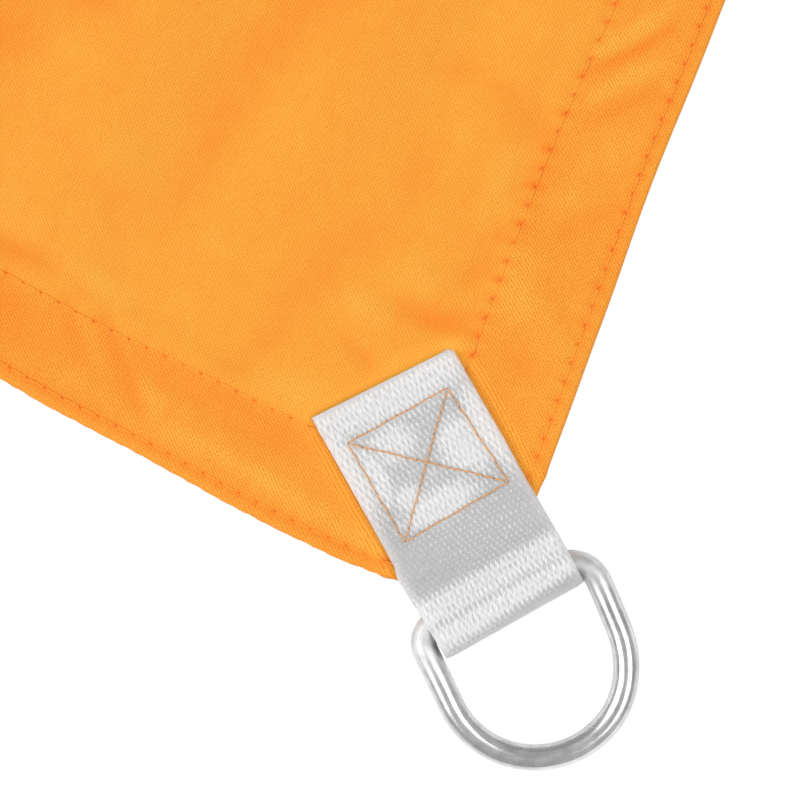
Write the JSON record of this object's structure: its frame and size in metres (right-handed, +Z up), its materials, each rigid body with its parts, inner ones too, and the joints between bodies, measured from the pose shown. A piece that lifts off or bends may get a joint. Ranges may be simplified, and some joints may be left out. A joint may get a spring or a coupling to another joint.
{
  "type": "shade sail",
  "caption": "Square orange fabric shade sail with a stitched hem, laid flat, with a folded webbing loop and a steel D-ring at each corner.",
  "frame": {"origin": "on the surface that the sail lies on, under the middle of the cloth", "axes": "+Z up from the surface to the sail's upper face; the sail's edges run along X and Y"},
  "size_m": [2.0632, 2.0487, 0.0169],
  "materials": {
    "cloth": "plain woven polyester, bright orange, soft sheen",
    "webbing": "silver-white woven webbing with a silky sheen",
    "ring": "smooth stainless wire, satin to polished"
  },
  "bodies": {
    "root": {"sail_cloth": "cloth", "corner_loop_south_east": "webbing", "corner_loop_north_east": "webbing", "corner_loop_north_west": "webbing", "corner_loop_south_west": "webbing", "d_ring_south_east": "ring", "d_ring_north_east": "ring", "d_ring_north_west": "ring", "d_ring_south_west": "ring"}
  },
  "joints": []
}
